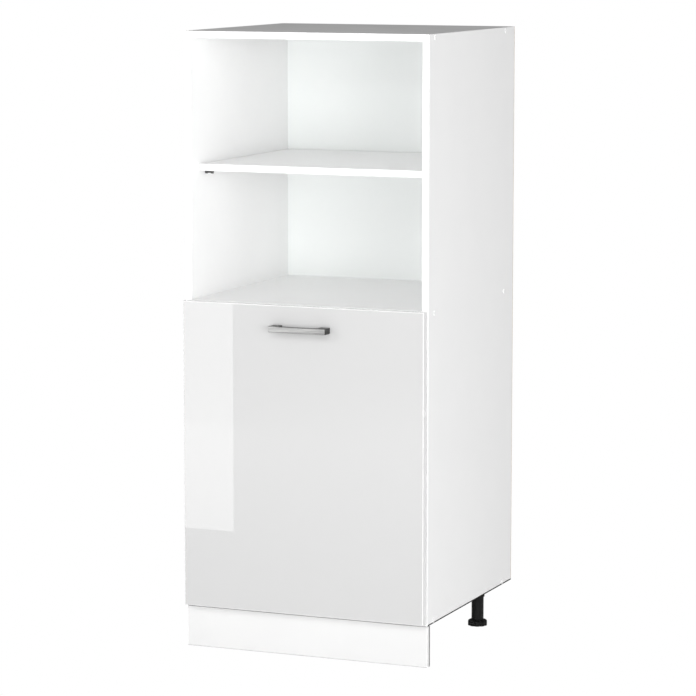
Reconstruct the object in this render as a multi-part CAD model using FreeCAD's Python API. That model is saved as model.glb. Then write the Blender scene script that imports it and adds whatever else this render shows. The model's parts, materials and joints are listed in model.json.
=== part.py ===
import FreeCAD, Part
import os
from math import cos, hypot, pi, sin

# Free-standing kitchen unit of middle height: an open niche above, a cupboard with one door below.
# Millimetres. +Z is up, the front faces -Y, and +X is to the right as seen from the front.
# The origin is on the floor, in the middle of the unit's plan with its door and handle.

V = FreeCAD.Vector

# ---- carcass -------------------------------------------------------------------------------------
width = 600.0               # over the two side panels
height = 1430.0             # floor to the top of the sides
depth = 560.0               # front edges to rear edges of the sides
board = 16.0                # thickness of every carcass panel and shelf
band = 1.0                  # thickness of the plastic edge band
floor_gap = 95.0            # floor to the underside of the carcass

back_board = 3.0            # thickness of the back panel
back_recess = 5.0           # rear edges of the sides to the back panel
groove_depth = 7.0          # of the grooves that hold the back panel
groove_play = 0.1           # on each face of the back panel in its groove
groove_end_play = 0.5       # between the back panel's edge and the groove's bottom

# ---- door ----------------------------------------------------------------------------------------
door_height = 713.0
door_board = 18.0
door_reveal = 3.0           # door edge to the outer face of the side panel, each side
door_lift = 5.0             # underside of the carcass to the door's lower edge
door_gap = 3.0              # carcass front to the door's inner face
door_round = 2.0            # rounding round the door's front face
middle_above_door = 1.0     # top of the middle panel above the door's top edge

# ---- handle --------------------------------------------------------------------------------------
handle_pitch = 128.0        # between its two screws
handle_length = 140.0
handle_leg = 22.0           # width of a leg along the handle
handle_height = 13.5
handle_reach = 30.0         # door face to the handle's front
handle_bar = 8.0            # front to back through the bar
handle_drop = 51.5          # door's top edge to the handle's middle
handle_corner = 6.0         # inner rounding between leg and bar
handle_nose = 2.0           # outer rounding at the bar's ends
handle_ease = 0.8           # eased edge round the handle's front
handle_screw_r = 2.0
handle_screw_play = 0.5     # radial, through the door
handle_screw_head_r = 4.0
handle_screw_head = 2.4
handle_screw_grip = 10.0    # length of the screw in the handle's leg

# ---- shelves -------------------------------------------------------------------------------------
niche_shelf_clear = 294.0   # middle panel to the niche shelf's underside
cupboard_shelf_clear = 335.0
niche_shelf_setback = 45.0  # carcass front to the shelf's front edge
cupboard_shelf_setback = 60.0
shelf_side_play = 1.0       # shelf end to the side panel
shelf_back_play = 2.0       # shelf to the back panel
support_front = 34.0        # shelf's front edge to the front supports
support_rear = 60.0         # shelf's rear edge to the rear supports
support_peg_r = 2.5
support_peg = 8.5           # length in the side panel
support_collar_r = 4.5
support_collar = 5.0        # length of each of the two collars
support_neck_r = 3.0
support_reach = 19.0        # side panel to the support's end

# ---- fixings -------------------------------------------------------------------------------------
fix_front = 38.0            # carcass front to the front fixing screw of a panel
fix_rear = 62.0             # carcass back to the rear fixing screw
fit = 0.05                  # radial clearance of a screw, dowel or peg in its hole
bolt_r = 3.5                # fixing screw through the side into a panel's end
bolt_length = 50.0
bolt_head_r = 5.0
bolt_head = 4.0
bolt_socket_r = 2.0
bolt_socket = 3.0
cap_r = 6.25                # cover cap
cap_thick = 0.8
cap_round = 0.6             # rounding of the rim, as a share of the cap's thickness
dowel_r = 4.0
dowel_length = 35.0
dowel_in_side = 11.0
dowel_offset = 96.0         # fixing screw to the dowel beside it
hole_over = 0.5             # depth of a blind hole past what stands in it
screw_r = 1.75              # chipboard screw
screw_head_r = 3.5
screw_point_r = 0.3
screw_recess_r = 1.2
screw_recess = 1.2
back_screw_length = 25.0
back_screw_share = 0.7      # outer back screws, as a share of half the width inside

# ---- cup hinges ----------------------------------------------------------------------------------
hinge_inset = 100.0         # door's top and bottom edges to the cup's middle
cup_r = 17.5
cup_depth = 12.0
cup_tab = 5.0               # door's edge to the rim of the cup's bore
cup_wall = 1.2
cup_notch = 0.8             # cup's middle to the notch for the links, as a share of its radius
cup_floor = 1.0
flange_thick = 1.2
wing_flat = 1.0             # flat left between the roundings of a wing's end
flange_width = 16.0         # of the wings that take the cup's screws
cup_screw_pitch = 48.0
cup_screw_inset = 6.0       # cup's middle to its screws, away from the door's edge
cup_screw_length = 14.0
pin_r = 1.25                # pivot pins
pin_play = 0.05             # radial running clearance of a link on its pin
open_pin_play = 1.2         # radial clearance where the linkage's loop is left open
pin_inset = 0.15            # end of a pin to the cup's outer face
# The linkage is drawn in plan: u runs from the left side panel's inner face into the cupboard, and v
# runs back from the carcass front. The outer link turns on the arm at arm_outer and on the cup at
# cup_outer, the inner link at arm_inner and cup_inner.
arm_outer = (26.97, 18.16)
cup_outer = (-2.72, -4.37)
arm_inner = (16.4, -5.4)
cup_inner = (0.06, -8.54)
outer_elbow = (6.3, -8.0)   # bends of the links, low in the cup while the door is shut
inner_elbow = (7.5, -11.6)
link_half = 1.5             # half the width of a link between its eyes
eye_r = 2.3
open_eye_r = 3.35           # eye of the inner link round the cup's pin
nose_r = 2.6                # round the pins in the arm's nose
inner_link_half = 2.4       # half the height of the inner link
cheek = 1.5                 # thickness of a cheek of the arm and of the outer link's plates
cheek_gap = 0.3             # between neighbouring layers on one pin
arm_low = 3.4               # side panel to the arm's cheeks
arm_high = 16.5             # side panel to the arm's back
arm_back_from = 20.0        # carcass front to the front end of the arm's back
arm_end = 62.0
arm_chin = (6.4, 6.0)       # lower front corner of the arm's cheeks
arm_screw_rows = (29.0, 50.0)
arm_screw_r = 2.0
arm_screw_head_r = 3.2
arm_screw_head = 1.6
arm_screw_stop = 1.0        # end of an arm screw to the plate's base
plate_front = 37.0          # carcass front to the mounting plate's screws
plate_pitch = 32.0
plate_screw_r = 3.0
plate_screw_length = 12.0
plate_screw_head_r = 4.2
plate_screw_head = 1.5
plate_thick = 3.0
plate_length = 22.0
plate_height = 46.0
plate_corner = 4.0
rail_play = 0.2             # between the plate's rail and the arm's cheeks
rail_from = 22.0
rail_to = 58.0
rail_high = 11.0
slot_width = 0.8            # driver slots
slot_deep = 0.8

# ---- door bumpers ----------------------------------------------------------------------------------
bumper_r = 4.0
bumper_play = 0.1           # shut door, bumper to the side panel's front edge
bumper_round = 0.6          # rounding of a bumper's rim, as a share of its thickness
bumper_inset = 30.0         # door's top and bottom edges to the bumpers

# ---- base ----------------------------------------------------------------------------------------
plinth_board = 16.0
plinth_gap = 1.0            # plinth's top edge to the underside of the carcass
leg_side = 48.4             # outer face of the side to a leg's axis
leg_front = 75.0            # carcass front to the front legs' axes
leg_rear = 101.0            # carcass back to the rear legs' axes
leg_r = 14.5
leg_bore_r = 12.0
socket_plate = 3.0
socket_size = 64.0
socket_corner = 10.0
socket_hub_wall = 2.0
socket_hub = 22.0
socket_play = 0.1           # tube in its socket
socket_screw_spread = 23.0  # screw to the leg's axis, along X and along Y
socket_screw_length = 14.0
foot_r = 23.0
foot_thick = 13.0
foot_ease = 4.0
foot_scallops = 10
foot_scallop_r = 5.0
foot_scallop_bite = 1.6
stem_r = 8.0
stem_length = 45.0
stem_play = 0.3             # screwed stem in the tube, drawn without its thread
stem_nut = 24.0             # length of the threaded bore in the tube
clip_wall = 3.0
clip_height = 22.0
clip_plate_width = 44.0
clip_plate_height = 36.0
clip_play = 0.1
clip_web_reach = 0.5        # the clip's webs and mouth, as shares of its ring's inner radius
clip_web_spread = 0.6
clip_mouth = 0.8
clip_mouth_from = 0.45
clip_middle = 50.0          # floor to the clip's middle
clip_screw_pitch = 30.0

# ---- places that follow from the sizes -------------------------------------------------------------
stand_off = door_gap + door_board + handle_reach
front = stand_off - (depth + stand_off) / 2
rear = front + depth
half = width / 2
inner = half - board
top_under = height - board
floor_top = floor_gap + board
back_face = rear - back_recess - back_board
door_z0 = floor_gap + door_lift
door_z1 = door_z0 + door_height
door_half = half - door_reveal
door_inside = front - door_gap
door_face = door_inside - door_board
middle_top = door_z1 + middle_above_door
middle_under = middle_top - board
niche_shelf_z = middle_top + niche_shelf_clear
cupboard_shelf_z = floor_top + cupboard_shelf_clear
panel_levels = (floor_gap + board / 2, middle_top - board / 2, height - board / 2)
fix_rows = (front + fix_front, rear - fix_rear)
dowel_rows = (front + fix_front + dowel_offset, rear - fix_rear - dowel_offset)
handle_z = door_z1 - handle_drop
cup_u = cup_tab + cup_r - (board - door_reveal)
arm_in = inner_link_half + cheek_gap
arm_out = arm_in + cheek
link_in = arm_out + cheek_gap
link_out = link_in + cheek
bumper_thick = door_gap - bumper_play
bumper_x = (inner + half - door_reveal) / 2
handle_half = handle_length / 2
hinge_levels = {"lower": door_z0 + hinge_inset, "upper": door_z1 - hinge_inset}
leg_places = {
    "front_left": (leg_side - half, front + leg_front),
    "front_right": (half - leg_side, front + leg_front),
    "rear_left": (leg_side - half, rear - leg_rear),
    "rear_right": (half - leg_side, rear - leg_rear),
}
clipped_legs = ("front_left", "front_right")


# ---- shapes used again and again --------------------------------------------------------------------
def block(x0, x1, y0, y1, z0, z1):
    return Part.makeBox(x1 - x0, y1 - y0, z1 - z0, V(x0, y0, z0))


def rod(r, start, end):
    along = end - start
    return Part.makeCylinder(r, along.Length, start, along)


def cone(r0, r1, start, end):
    along = end - start
    return Part.makeCone(r0, r1, along.Length, start, along)


def unit(v):
    return V(v).multiply(1.0 / v.Length)


def group(shapes):
    return Part.makeCompound(shapes)


def edges_along(shape, axis):
    """The straight edges of a shape that run along one axis."""
    found = []
    for edge in shape.Edges:
        if not isinstance(edge.Curve, (Part.Line, Part.LineSegment)):
            continue
        way = edge.tangentAt(edge.FirstParameter)
        if abs(abs(way.dot(axis)) - 1) < 1e-6:
            found.append(edge)
    return found


def wood_screw(head_at, way, length, play=0.0):
    """Countersunk screw whose head lies flush at head_at; with play it is the hole that it needs."""
    way = unit(way)
    r = screw_r + play
    head_r = screw_head_r + play
    head_deep = head_r - r
    tip = 0.0 if play else 2.0 * screw_r
    end = head_at + way * (length + (hole_over if play else 0.0) - tip)
    body = cone(head_r, r, head_at, head_at + way * head_deep).fuse(rod(r, head_at, end))
    if not play:
        body = body.fuse(cone(r, screw_point_r, end, end + way * tip))
        body = body.cut(rod(screw_recess_r, head_at, head_at + way * screw_recess))
    return body


# ---- carcass ---------------------------------------------------------------------------------------
def fixing_holes(side):
    """Stepped holes of the fixing screws, from the side's outer face into the panels' ends."""
    holes = []
    for z in panel_levels:
        for y in fix_rows:
            face = V(side * half, y, z)
            into = V(-side, 0, 0)
            holes.append(rod(bolt_r + fit, face, face + into * (bolt_length + hole_over)))
            holes.append(rod(bolt_head_r + fit, face, face + into * bolt_head))
    return holes


def dowel_holes(side):
    holes = []
    for z in panel_levels:
        for y in dowel_rows:
            start = V(side * (inner + dowel_in_side + hole_over), y, z)
            end = V(side * (inner + dowel_in_side - dowel_length - hole_over), y, z)
            holes.append(rod(dowel_r + fit, start, end))
    return holes


def back_groove():
    """The space that the grooves leave for the back panel."""
    out = inner + groove_depth
    return block(-out, out, back_face - groove_play, back_face + back_board + groove_play,
                 floor_top - groove_depth, top_under + groove_depth)


def support_rows(setback):
    return (front + setback + support_front, back_face - shelf_back_play - support_rear)


def support_holes(side):
    holes = []
    for level, setback in ((niche_shelf_z, niche_shelf_setback), (cupboard_shelf_z, cupboard_shelf_setback)):
        for y in support_rows(setback):
            mouth = V(side * inner, y, level - support_collar_r)
            end = mouth + V(side * (support_peg + hole_over), 0, 0)
            holes.append(rod(support_peg_r + fit, mouth, end))
    return holes


def side_panel(side):
    x0, x1 = sorted((side * inner, side * half))
    panel = block(x0, x1, front + band, rear, floor_gap, height)
    cuts = fixing_holes(side) + dowel_holes(side) + support_holes(side) + [back_groove()]
    if side < 0:
        for z in hinge_levels.values():
            for dz in (-plate_pitch / 2, plate_pitch / 2):
                mouth = V(-inner, front + plate_front, z + dz)
                end = mouth - V(plate_screw_length - plate_thick + hole_over, 0, 0)
                cuts.append(rod(plate_screw_r + fit, mouth, end))
    return panel.cut(cuts)


def cross_panel(z0, y1, cuts):
    panel = block(-inner, inner, front + band, y1, z0, z0 + board)
    for side in (-1, 1):
        cuts = cuts + fixing_holes(side) + dowel_holes(side)
    return panel.cut(cuts)


def top_panel():
    return cross_panel(top_under, rear, [back_groove()])


def middle_panel():
    return cross_panel(middle_under, back_face, back_screw_set(fit))


def bottom_panel():
    cuts = [back_groove()]
    for place in leg_places.values():
        cuts += socket_screw_set(place, fit)
    return cross_panel(floor_gap, rear, cuts)


def back_panel():
    out = inner + groove_depth - groove_end_play
    z0 = floor_top - groove_depth + groove_end_play
    z1 = top_under + groove_depth - groove_end_play
    panel = block(-out, out, back_face, back_face + back_board, z0, z1)
    return panel.cut(back_screw_set(fit))


def back_screw_set(play):
    """Screws from behind, through the back panel into the middle panel's rear edge."""
    head_y = back_face + back_board
    spread_x = inner * back_screw_share
    places = [V(x, head_y, middle_top - board / 2) for x in (-spread_x, 0, spread_x)]
    return [wood_screw(at, V(0, -1, 0), back_screw_length, play) for at in places]


def front_band(x0, x1, y, z0, z1):
    return block(x0, x1, y, y + band, z0, z1)


def shelf(z0, setback):
    reach = inner - shelf_side_play
    return block(-reach, reach, front + setback + band, back_face - shelf_back_play, z0, z0 + board)


def shelf_band(z0, setback):
    reach = inner - shelf_side_play
    return front_band(-reach, reach, front + setback, z0, z0 + board)


def shelf_support(side, y, level):
    """Peg in the side panel with two collars, the shelf lying on the collars."""
    z = level - support_collar_r
    wall = side * inner

    def at(reach):
        return V(wall - side * reach, y, z)

    body = rod(support_peg_r, at(-support_peg), at(0))
    body = body.fuse(rod(support_collar_r, at(0), at(support_collar)))
    body = body.fuse(rod(support_neck_r, at(support_collar), at(support_reach - support_collar)))
    return body.fuse(rod(support_collar_r, at(support_reach - support_collar), at(support_reach)))


def shelf_supports(level, setback):
    return group([shelf_support(side, y, level) for side in (-1, 1) for y in support_rows(setback)])


def fixing_screw(side, y, z):
    face = V(side * half, y, z)
    into = V(-side, 0, 0)
    body = rod(bolt_head_r, face, face + into * bolt_head)
    body = body.fuse(rod(bolt_r, face, face + into * bolt_length))
    return body.cut(rod(bolt_socket_r + fit, face, face + into * bolt_socket))


def cover_cap(side, y, z):
    face = V(side * half, y, z)
    out = V(side, 0, 0)
    disc = rod(cap_r, face, face + out * cap_thick)
    rim = [edge for edge in disc.Edges if abs(edge.CenterOfMass.x - (face.x + side * cap_thick)) < 1e-6]
    disc = disc.makeFillet(cap_thick * cap_round, rim)
    return disc.fuse(rod(bolt_socket_r, face, face - out * (bolt_socket - hole_over)))


def dowel(side, y, z):
    start = V(side * (inner + dowel_in_side), y, z)
    end = start - V(side * dowel_length, 0, 0)
    body = rod(dowel_r, start, end)
    return body.makeChamfer(1.0, [e for e in body.Edges if e.Closed])


def at_each_joint(piece, rows):
    return group([piece(side, y, z) for side in (-1, 1) for z in panel_levels for y in rows])


# ---- door ------------------------------------------------------------------------------------------
def handle_screw_place(side):
    return V(side * handle_pitch / 2, door_inside, handle_z)


def door_panel():
    panel = block(-door_half, door_half, door_face, door_inside, door_z0, door_z1)
    rounded = [e for e in panel.Edges if abs(e.CenterOfMass.y - door_face) < 1e-6]
    panel = panel.makeFillet(door_round, rounded)
    cuts = []
    for side in (-1, 1):
        inside = handle_screw_place(side)
        cuts.append(rod(handle_screw_r + handle_screw_play, inside, inside - V(0, door_board, 0)))
    for z in hinge_levels.values():
        middle = at(cup_u, -door_gap, 0, z)
        cuts.append(rod(cup_r + fit, middle, middle - V(0, cup_depth, 0)))
        cuts += cup_screw_set(z, fit)
    return panel.cut(cuts)


def handle():
    """Bow handle: a flat bar on two end legs, one casting, with a threaded hole in each leg."""
    y0 = door_face - handle_reach
    y1 = y0 + handle_bar
    x1 = handle_half - handle_leg
    outline = block(-handle_half, handle_half, y0, door_face, handle_z - handle_height / 2,
                    handle_z + handle_height / 2)
    finger = block(-x1, x1, y1, door_face + 1, handle_z - handle_height, handle_z + handle_height)
    inner_edges = [e for e in edges_along(finger, V(0, 0, 1)) if abs(e.CenterOfMass.y - y1) < 1e-6]
    finger = finger.makeFillet(handle_corner, inner_edges)
    outer_edges = [e for e in edges_along(outline, V(0, 0, 1)) if abs(e.CenterOfMass.y - y0) < 1e-6]
    outline = outline.makeFillet(handle_nose, outer_edges)
    body = outline.cut(finger)
    front_edges = [e for e in edges_along(body, V(1, 0, 0)) if e.CenterOfMass.y < y0 + 0.1]
    body = body.makeFillet(handle_ease, front_edges)
    holes = []
    for side in (-1, 1):
        mouth = V(side * handle_pitch / 2, door_face, handle_z)
        holes.append(rod(handle_screw_r + fit, mouth, mouth - V(0, handle_screw_grip + hole_over, 0)))
    return body.cut(holes)


def handle_screw(side):
    """Pan-head machine screw from inside the door into the handle's leg."""
    inside = handle_screw_place(side)
    head = rod(handle_screw_head_r, inside, inside + V(0, handle_screw_head, 0))
    rim = [e for e in head.Edges if abs(e.CenterOfMass.y - inside.y - handle_screw_head) < 1e-6]
    head = head.makeFillet(handle_screw_head / 2, rim)
    shank = rod(handle_screw_r, inside, inside - V(0, door_board + handle_screw_grip, 0))
    top = inside + V(0, handle_screw_head, 0)
    arm = handle_screw_r
    thin = slot_width / 2
    cross = [block(top.x - dx, top.x + dx, top.y - slot_deep, top.y + 1, top.z - dz, top.z + dz)
             for dx, dz in ((arm, thin), (thin, arm))]
    return head.fuse(shank).cut(cross)


# ---- cup hinges --------------------------------------------------------------------------------------

def at(u, v, w, level):
    return V(u - inner, front + v, level + w)


def layer(points, w0, w1, level):
    """A flat plate with its outline given in plan, between two heights about the hinge's level."""
    corners = [at(u, v, w0, level) for u, v in points]
    face = Part.Face(Part.makePolygon(corners + corners[:1]))
    return face.extrude(V(0, 0, w1 - w0))


def box_layer(u0, u1, v0, v1, w0, w1, level):
    return layer([(u0, v0), (u1, v0), (u1, v1), (u0, v1)], w0, w1, level)


def disc(point, r, w0, w1, level):
    return rod(r, at(point[0], point[1], w0, level), at(point[0], point[1], w1, level))


def strap(start, end, half_width, w0, w1, level):
    """A straight bar in plan with round ends."""
    du = end[0] - start[0]
    dv = end[1] - start[1]
    nu = -dv / hypot(du, dv) * half_width
    nv = du / hypot(du, dv) * half_width
    corners = [(start[0] + nu, start[1] + nv), (start[0] - nu, start[1] - nv),
               (end[0] - nu, end[1] - nv), (end[0] + nu, end[1] + nv)]
    bar = layer(corners, w0, w1, level)
    return bar.fuse([disc(start, half_width, w0, w1, level), disc(end, half_width, w0, w1, level)])


def spread(sign, w_in, w_out):
    return sorted((sign * w_in, sign * w_out))


def wall_reach(point):
    """Half the length of a pin that crosses the cup at a point and ends just inside its outer face."""
    return ((cup_r - pin_inset) ** 2 - (abs(point[0] - cup_u) + pin_r) ** 2) ** 0.5


def cup_screw_set(level, play):
    u = cup_u + cup_screw_inset
    top = flange_thick - door_gap
    return [wood_screw(at(u, top, w, level), V(0, -1, 0), cup_screw_length, play)
            for w in (-cup_screw_pitch / 2, cup_screw_pitch / 2)]


def hinge_cup(level):
    """Pressed cup in the door's bore, with a flange screwed to the door's inner face."""
    mouth = at(cup_u, -door_gap, 0, level)
    inward = V(0, -1, 0)
    shell = rod(cup_r, mouth, mouth + inward * cup_depth)
    top = mouth - inward * flange_thick
    flange = rod(cup_r + cup_wall, mouth, top)
    wing_u = cup_u + cup_screw_inset
    wing_half = cup_screw_pitch / 2 + flange_width / 2
    wings = block(wing_u - flange_width / 2 - inner, wing_u + flange_width / 2 - inner,
                  mouth.y, mouth.y + flange_thick, level - wing_half, level + wing_half)
    wings = wings.makeFillet(flange_width / 2 - wing_flat / 2, edges_along(wings, V(0, 1, 0)))
    body = shell.fuse([flange, wings])
    hollow = rod(cup_r - cup_wall, top, mouth + inward * (cup_depth - cup_floor))
    notch = box_layer(cup_u - 2 * cup_r, cup_u - cup_r * cup_notch, -door_gap, 0,
                      -link_out - cheek_gap, link_out + cheek_gap, level)
    cuts = [hollow, notch] + cup_screw_set(level, fit)
    cuts.append(disc(cup_inner, pin_r, -cup_r, cup_r, level))
    cuts.append(disc(cup_outer, pin_r, -cup_r, cup_r, level))
    return body.cut(cuts)


def hinge_cup_pins(level):
    """Pins across the cup: one right through for the inner link, two stubs for the outer link."""
    reach = wall_reach(cup_inner)
    pins = [disc(cup_inner, pin_r, -reach, reach, level)]
    reach = wall_reach(cup_outer)
    for sign in (-1, 1):
        w0, w1 = spread(sign, link_in, reach)
        pins.append(disc(cup_outer, pin_r, w0, w1, level))
    return pins


def hinge_arm_pins(level):
    pins = [disc(arm_outer, pin_r, -link_out - cheek_gap, link_out + cheek_gap, level)]
    pins.append(disc(arm_inner, pin_r, -arm_out, arm_out, level))
    return pins


def bent_link(start, elbow, end, w0, w1, level):
    """A flat link, bent at its elbow, with an eye round each pin."""
    link = strap(start, elbow, link_half, w0, w1, level)
    link = link.fuse(strap(elbow, end, link_half, w0, w1, level))
    return link.fuse([disc(start, eye_r, w0, w1, level), disc(end, eye_r, w0, w1, level)])


def hinge_outer_link(level):
    """Two bent plates, one on each side of the arm."""
    plates = []
    for sign in (-1, 1):
        w0, w1 = spread(sign, link_in, link_out)
        plate = bent_link(cup_outer, outer_elbow, arm_outer, w0, w1, level)
        holes = [disc(pin, pin_r + pin_play, w0 - 1, w1 + 1, level) for pin in (cup_outer, arm_outer)]
        plates.append(plate.cut(holes))
    return group(plates)


def hinge_inner_link(level):
    """Bent link between the arm's cheeks. Its wide eye round the cup's pin is the open pivot."""
    w = inner_link_half
    body = bent_link(cup_inner, inner_elbow, arm_inner, -w, w, level)
    body = body.fuse(disc(cup_inner, open_eye_r, -w, w, level))
    return body.cut([disc(arm_inner, pin_r + pin_play, -w - 1, w + 1, level),
                     disc(cup_inner, pin_r + open_pin_play, -w - 1, w + 1, level)])


def hinge_arm(level):
    """Channel that straddles the mounting plate's rail, with a nose that carries both links."""
    outline = [arm_inner, arm_outer, (arm_high, arm_back_from), (arm_high, arm_end),
               (arm_low, arm_end), (arm_low, arm_back_from), arm_chin]
    cheeks = []
    for sign in (-1, 1):
        w0, w1 = spread(sign, arm_in, arm_out)
        plate = layer(outline, w0, w1, level)
        plate = plate.fuse([disc(arm_inner, nose_r, w0, w1, level),
                            disc(arm_outer, nose_r, w0, w1, level)])
        cheeks.append(plate)
    back = box_layer(arm_high - cheek, arm_high, arm_back_from, arm_end, -arm_out, arm_out, level)
    cuts = [disc(arm_inner, pin_r, -arm_out - 1, arm_out + 1, level),
            disc(arm_outer, pin_r, -arm_out - 1, arm_out + 1, level)]
    for v in arm_screw_rows:
        cuts.append(rod(arm_screw_r + fit, at(arm_high + 1, v, 0, level),
                        at(arm_high - cheek - 1, v, 0, level)))
    return cheeks[0].fuse([cheeks[1], back]).cut(cuts)


def hinge_arm_screws(level):
    """Pan-head screws through the arm's back into the rail, for fixing and for side adjustment."""
    screws = []
    for v in arm_screw_rows:
        seat = at(arm_high, v, 0, level)
        head = rod(arm_screw_head_r, seat, seat + V(arm_screw_head, 0, 0))
        shank = rod(arm_screw_r, seat, seat - V(arm_high - plate_thick - arm_screw_stop, 0, 0))
        top = seat.x + arm_screw_head
        slot = block(top - slot_deep, top + 1, seat.y - arm_screw_head_r, seat.y + arm_screw_head_r,
                     level - slot_width / 2, level + slot_width / 2)
        screws.append(head.fuse(shank).cut(slot))
    return screws


def plate_screw_set(level, play):
    """Coarse-threaded screws of the mounting plate, with flat heads on the plate."""
    screws = []
    for w in (-plate_pitch / 2, plate_pitch / 2):
        seat = at(plate_thick, plate_front, w, level)
        deep = plate_screw_length + (hole_over if play else 0.0)
        body = rod(plate_screw_r + play, seat, seat - V(deep, 0, 0))
        if not play:
            body = body.fuse(rod(plate_screw_head_r, seat, seat + V(plate_screw_head, 0, 0)))
            top = seat.x + plate_screw_head
            body = body.cut(block(top - slot_deep, top + 1, seat.y - plate_screw_r, seat.y + plate_screw_r,
                                  seat.z - slot_width / 2, seat.z + slot_width / 2))
        screws.append(body)
    return screws


def hinge_plate(level):
    """Mounting plate on the side panel: a flat foot with a rail that the arm is screwed to."""
    foot = block(-inner, plate_thick - inner, front + plate_front - plate_length / 2,
                 front + plate_front + plate_length / 2, level - plate_height / 2, level + plate_height / 2)
    foot = foot.makeFillet(plate_corner, edges_along(foot, V(1, 0, 0)))
    rail_half = arm_in - rail_play
    rail = box_layer(0, rail_high, rail_from, rail_to, -rail_half, rail_half, level)
    cuts = plate_screw_set(level, fit)
    for v in arm_screw_rows:
        cuts.append(rod(arm_screw_r + fit, at(rail_high + 1, v, 0, level), at(plate_thick, v, 0, level)))
    return foot.fuse(rail).cut(cuts)


def door_bumpers():
    """Soft domes near the door's free edge that meet the side panel's front edge."""
    domes = []
    for z in (door_z0 + bumper_inset, door_z1 - bumper_inset):
        seat = V(bumper_x, door_inside, z)
        dome = rod(bumper_r, seat, seat + V(0, bumper_thick, 0))
        rim = [e for e in dome.Edges if e.Closed and e.CenterOfMass.y > door_inside + bumper_thick / 2]
        domes.append(dome.makeFillet(bumper_thick * bumper_round, rim))
    return group(domes)


# ---- base ------------------------------------------------------------------------------------------
def rounded_plate(x, y, z0, z1, size, corner):
    plate = block(x - size / 2, x + size / 2, y - size / 2, y + size / 2, z0, z1)
    return plate.makeFillet(corner, edges_along(plate, V(0, 0, 1)))


def socket_screw_set(place, play):
    """The four screws of one leg socket, up into the bottom panel."""
    x, y = place
    z = floor_gap - socket_plate
    screws = []
    for dx in (-socket_screw_spread, socket_screw_spread):
        for dy in (-socket_screw_spread, socket_screw_spread):
            screws.append(wood_screw(V(x + dx, y + dy, z), V(0, 0, 1), socket_screw_length, play))
    return screws


def leg_socket(place):
    x, y = place
    z1 = floor_gap
    z0 = z1 - socket_plate
    hub_r = leg_r + socket_play + socket_hub_wall
    body = rounded_plate(x, y, z0, z1, socket_size, socket_corner)
    body = body.fuse(rod(hub_r, V(x, y, z0), V(x, y, z0 - socket_hub)))
    bore = rod(leg_r + socket_play, V(x, y, z0 - socket_hub), V(x, y, z0))
    return body.cut([bore] + socket_screw_set(place, fit))


def leg_tube(place):
    """Tube of the leg: pushed into the socket, with the threaded bore for the foot at its lower end."""
    x, y = place
    z0 = foot_thick
    z1 = floor_gap - socket_plate
    tube = rod(leg_r, V(x, y, z0), V(x, y, z1))
    nut = rod(stem_r + stem_play, V(x, y, z0), V(x, y, z0 + stem_nut))
    bore = rod(leg_bore_r, V(x, y, z0 + stem_nut), V(x, y, z1))
    return tube.cut([nut, bore])


def leg_foot(place):
    """Foot with its screwed stem; the tube bears on the foot when it is screwed right in."""
    x, y = place
    pad = rod(foot_r, V(x, y, 0), V(x, y, foot_thick))
    bites = []
    for i in range(foot_scallops):
        turn = 2 * pi * (i + 0.5) / foot_scallops
        out = foot_r + foot_scallop_r - foot_scallop_bite
        centre = V(x + out * cos(turn), y + out * sin(turn), 0)
        bites.append(rod(foot_scallop_r, centre - V(0, 0, 1), centre + V(0, 0, foot_thick + 1)))
    rims = [e for e in pad.Edges if e.Closed and e.CenterOfMass.z > foot_thick / 2]
    pad = pad.makeFillet(foot_ease, rims)
    pad = pad.cut(bites)
    return pad.fuse(rod(stem_r, V(x, y, foot_thick), V(x, y, foot_thick + stem_length)))


def plinth_screw_set(place, play):
    x = place[0]
    inside = front + plinth_board
    screws = []
    for dx in (-clip_screw_pitch / 2, clip_screw_pitch / 2):
        head_at = V(x + dx, inside + clip_wall, clip_middle)
        screws.append(wood_screw(head_at, V(0, -1, 0), socket_screw_length, play))
    return screws


def plinth():
    board_block = block(-half + band, half - band, front, front + plinth_board, 0, floor_gap - plinth_gap)
    cuts = []
    for name in clipped_legs:
        cuts += plinth_screw_set(leg_places[name], fit)
    return board_block.cut(cuts)


def plinth_bands():
    y1 = front + plinth_board
    z1 = floor_gap - plinth_gap
    return group([block(-half, -half + band, front, y1, 0, z1), block(half - band, half, front, y1, 0, z1)])


def plinth_clip(place):
    """Plate on the plinth's back, a web, and an open ring that snaps round the front leg's tube."""
    x, y = place
    inside = front + plinth_board
    z0 = clip_middle - clip_height / 2
    z1 = clip_middle + clip_height / 2
    ring_r = leg_r + clip_play
    plate = block(x - clip_plate_width / 2, x + clip_plate_width / 2, inside, inside + clip_wall,
                  clip_middle - clip_plate_height / 2, clip_middle + clip_plate_height / 2)
    webs = [block(x + s - clip_wall / 2, x + s + clip_wall / 2, inside, y - ring_r * clip_web_reach, z0, z1)
            for s in (-ring_r * clip_web_spread, ring_r * clip_web_spread)]
    body = plate.fuse(webs).fuse(rod(ring_r + clip_wall, V(x, y, z0), V(x, y, z1)))
    bore = rod(ring_r, V(x, y, z0 - 1), V(x, y, z1 + 1))
    mouth = block(x - ring_r * clip_mouth, x + ring_r * clip_mouth, y + ring_r * clip_mouth_from,
                  y + 2 * ring_r, z0 - 1, z1 + 1)
    return body.cut([bore, mouth] + plinth_screw_set(place, fit))


# ---- output ----------------------------------------------------------------------------------------
def both_hinges(make):
    """The pieces that one hinge's function makes, for both hinges in one group."""
    return group([piece for level in hinge_levels.values() for piece in make(level)])


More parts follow.
